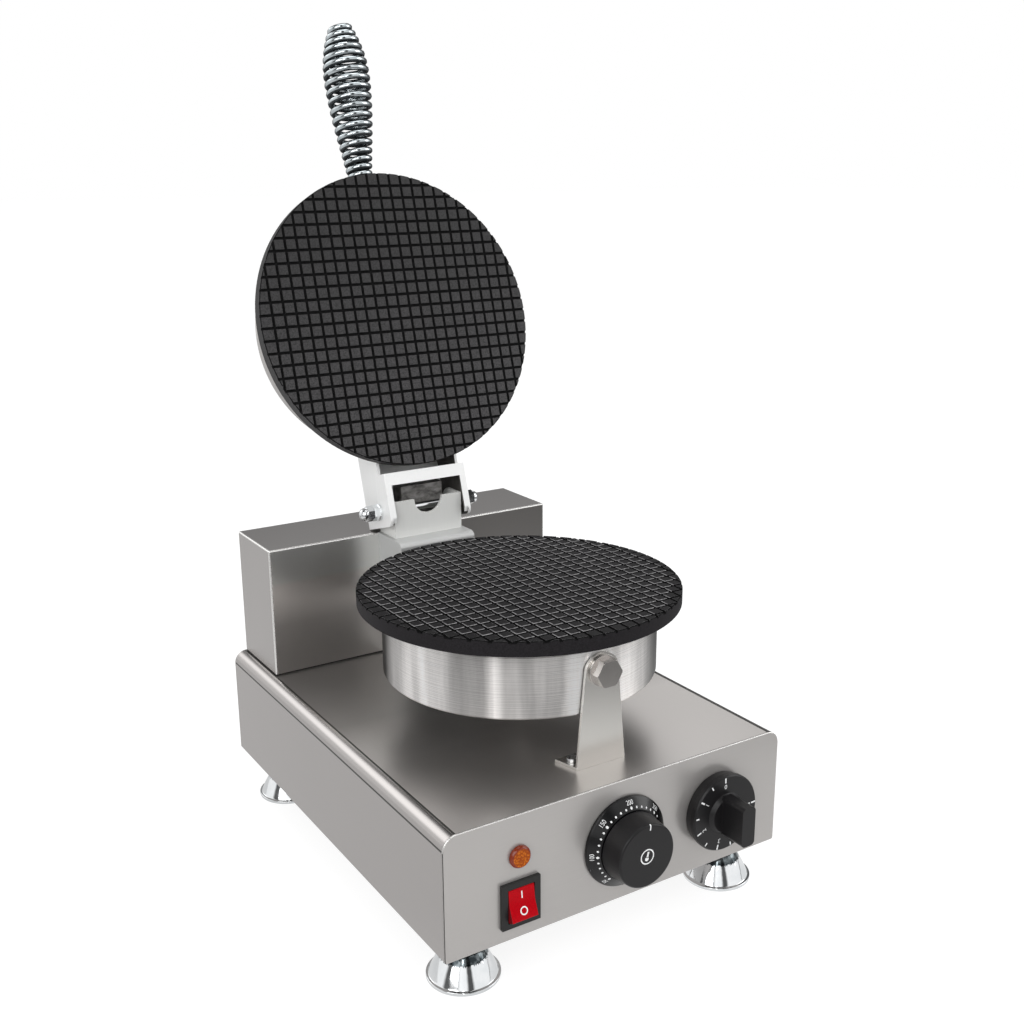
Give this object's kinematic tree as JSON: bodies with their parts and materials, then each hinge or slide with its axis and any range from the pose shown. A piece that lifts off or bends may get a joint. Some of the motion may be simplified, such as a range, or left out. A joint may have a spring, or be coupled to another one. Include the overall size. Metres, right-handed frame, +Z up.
{
  "type": "waffle cone maker",
  "caption": "Electric waffle cone maker: stainless box with dials, round gridded grill plates and a hinged upper head lifted by a wound wire handle.",
  "frame": {"origin": "middle of the overall box at bench level, under the feet", "axes": "+X to the right seen from the front, +Y from the front panel to the back, +Z up from the bench"},
  "size_m": [0.246, 0.3918, 0.5561],
  "materials": {
    "stainless": "brushed, fine grain",
    "satin_steel": "satin",
    "zinc_steel": "zinc plated",
    "chrome": "polished",
    "spun_aluminium": "turned, fine rings",
    "coated_iron": "matt non-stick coating",
    "black_plastic": "semi gloss",
    "red_plastic": "glossy",
    "amber_plastic": "glossy, lightly see-through",
    "mineral_wool": "matt fibres",
    "cream_plastic": "matt",
    "bronze": "plain bearing bronze"
  },
  "bodies": {
    "base": {"housing_shell": "stainless", "front_panel": "stainless", "back_panel": "stainless", "bottom_cover": "stainless", "cover_screws": "zinc_steel", "riser_cover": "stainless", "riser_back": "stainless", "riser_screws": "zinc_steel", "pedestal_cover": "stainless", "hinge_bracket": "satin_steel", "bracket_screws": "zinc_steel", "stop_block": "zinc_steel", "hinge_bushes": "bronze", "lower_plate": "coated_iron", "lower_element": "zinc_steel", "lower_clamp": "spun_aluminium", "lower_insulation": "mineral_wool", "lower_drum": "spun_aluminium", "lower_stud": "zinc_steel", "thermostat_bulb": "zinc_steel", "support_bracket": "stainless", "support_bolt": "chrome", "support_washer": "chrome", "support_screws": "zinc_steel", "conduit_nipple": "zinc_steel", "conduit_nuts": "zinc_steel", "thermostat_body": "zinc_steel", "thermostat_bezel": "black_plastic", "timer_body": "zinc_steel", "lamp_body": "black_plastic", "lamp_lens": "amber_plastic", "switch_frame": "black_plastic", "terminal_block": "cream_plastic", "cable_gland": "black_plastic", "gland_nut": "black_plastic", "foot_nuts": "zinc_steel"},
    "head": {"upper_plate": "coated_iron", "upper_element": "zinc_steel", "upper_clamp": "spun_aluminium", "upper_insulation": "mineral_wool", "upper_drum": "spun_aluminium", "upper_stud": "zinc_steel", "yoke": "satin_steel", "yoke_screws": "zinc_steel", "hinge_pin": "chrome", "pin_washers": "chrome", "pin_nuts": "chrome", "handle_stud": "chrome", "handle_nut": "chrome", "handle_coil": "chrome"},
    "thermostat_dial": {"thermostat_knob": "black_plastic", "thermostat_spindle": "zinc_steel"},
    "timer_dial": {"timer_knob": "black_plastic", "timer_spindle": "zinc_steel"},
    "rocker": {"switch_rocker": "red_plastic"},
    "foot_front_left": {"foot_front_left": "chrome"},
    "foot_front_right": {"foot_front_right": "chrome"},
    "foot_back_left": {"foot_back_left": "chrome"},
    "foot_back_right": {"foot_back_right": "chrome"}
  },
  "joints": [
    {"name": "lid_hinge", "type": "hinge", "parent": "base", "child": "head", "pos_m": [0, 0.08259, 0.2187], "axis": [1, 0, 0], "range_deg": [0, 106.9]},
    {"name": "thermostat_turn", "type": "hinge", "parent": "base", "child": "thermostat_dial", "pos_m": [0, -0.17591, 0.0686], "axis": [0, 1, 0], "range_deg": [-150, 57]},
    {"name": "timer_turn", "type": "hinge", "parent": "base", "child": "timer_dial", "pos_m": [0.072, -0.17591, 0.0686], "axis": [0, 1, 0], "range_deg": [0, 270]},
    {"name": "power_rocker", "type": "hinge", "parent": "base", "child": "rocker", "pos_m": [-0.0741, -0.16641, 0.0532], "axis": [1, 0, 0], "range_deg": [0, 29]},
    {"name": "foot_front_left_turn", "type": "hinge", "parent": "base", "child": "foot_front_left", "pos_m": [-0.0974, -0.14091, 0.03], "axis": [0, 0, 1], "range_deg": [-1440, 720]},
    {"name": "foot_front_right_turn", "type": "hinge", "parent": "base", "child": "foot_front_right", "pos_m": [0.0974, -0.14091, 0.03], "axis": [0, 0, 1], "range_deg": [-1440, 720]},
    {"name": "foot_back_left_turn", "type": "hinge", "parent": "base", "child": "foot_back_left", "pos_m": [-0.0974, 0.12209, 0.03], "axis": [0, 0, 1], "range_deg": [-1440, 720]},
    {"name": "foot_back_right_turn", "type": "hinge", "parent": "base", "child": "foot_back_right", "pos_m": [0.0974, 0.12209, 0.03], "axis": [0, 0, 1], "range_deg": [-1440, 720]}
  ]
}
